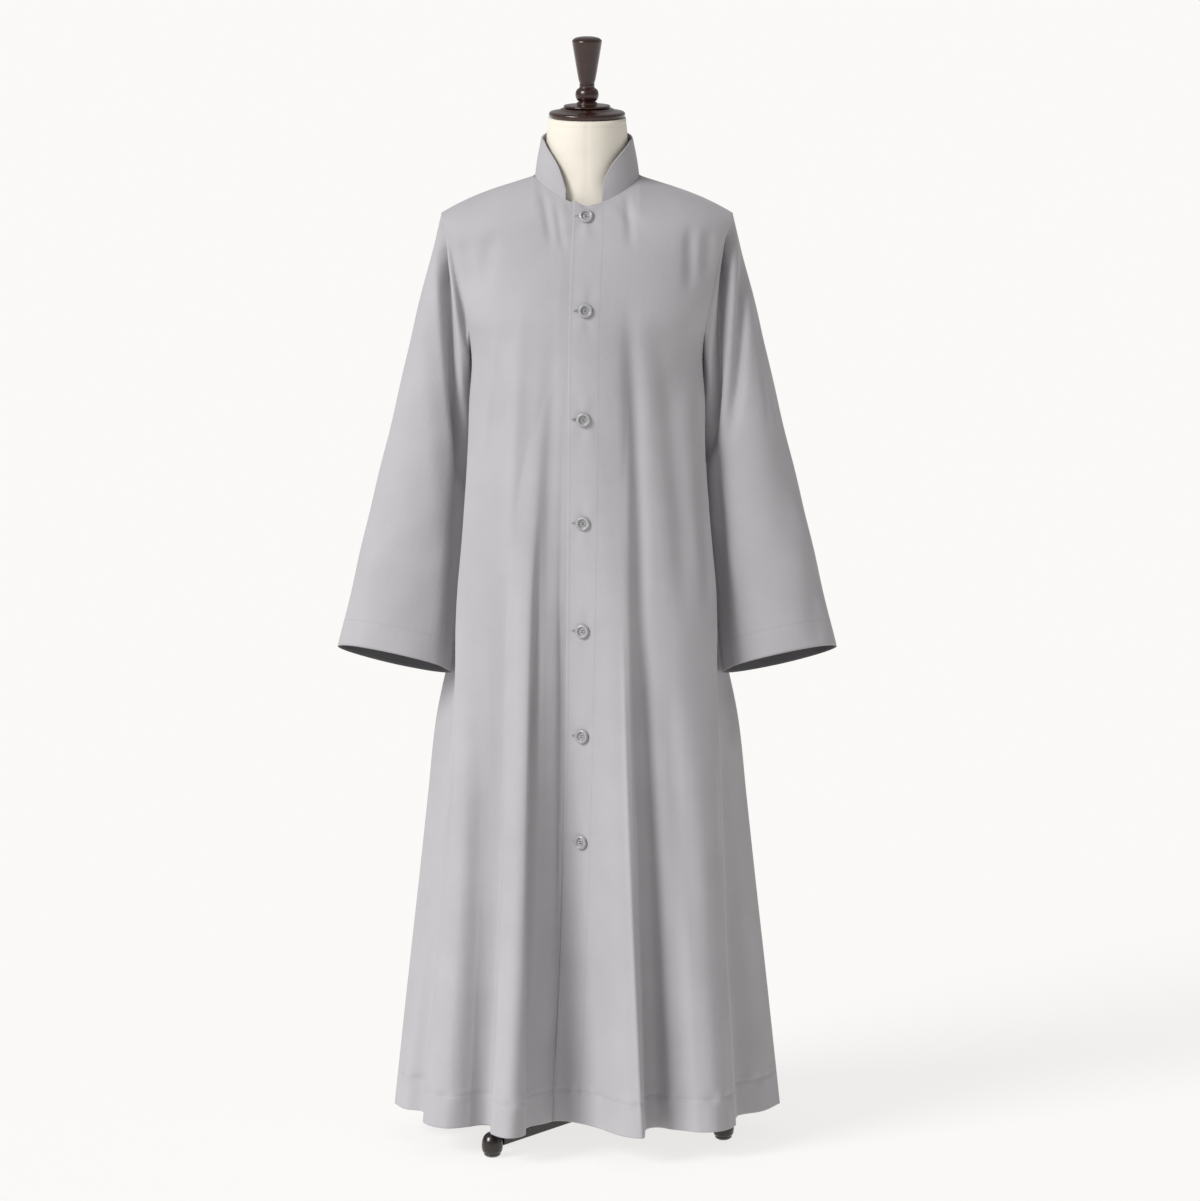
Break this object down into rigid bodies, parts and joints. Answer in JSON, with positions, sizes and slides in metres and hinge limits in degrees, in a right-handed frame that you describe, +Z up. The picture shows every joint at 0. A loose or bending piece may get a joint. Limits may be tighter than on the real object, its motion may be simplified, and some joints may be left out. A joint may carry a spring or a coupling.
{
  "type": "cassock on a dress form",
  "caption": "Long pale grey cassock with cut-away stand collar, front buttons and open straight sleeves, on a limbless dress form with a turned wooden finial and a tripod stand.",
  "frame": {"origin": "on the floor under the middle of the whole object, below the form's pole", "axes": "+Z up through the form's neck, the buttoned front faces -Y, +X towards the wearer's left sleeve"},
  "size_m": [0.7608, 0.466, 1.689],
  "materials": {
    "cassock_cloth": "plain weave, faint sheen",
    "button_pearl": "satin pearl",
    "form_jersey": "cream jersey",
    "turned_wood": "dark polished mahogany"
  },
  "bodies": {
    "root": {"front_right": "cassock_cloth", "front_left": "cassock_cloth", "back": "cassock_cloth", "sleeve_right": "cassock_cloth", "sleeve_left": "cassock_cloth", "collar": "cassock_cloth", "button_1": "button_pearl", "button_2": "button_pearl", "button_3": "button_pearl", "button_4": "button_pearl", "button_5": "button_pearl", "button_6": "button_pearl", "button_7": "button_pearl", "form_torso": "form_jersey", "form_base": "turned_wood", "neck_cap": "turned_wood", "finial": "turned_wood", "pole": "turned_wood", "hub": "turned_wood", "leg_1": "turned_wood", "leg_2": "turned_wood", "leg_3": "turned_wood", "foot_1": "turned_wood", "foot_2": "turned_wood", "foot_3": "turned_wood"}
  },
  "joints": []
}
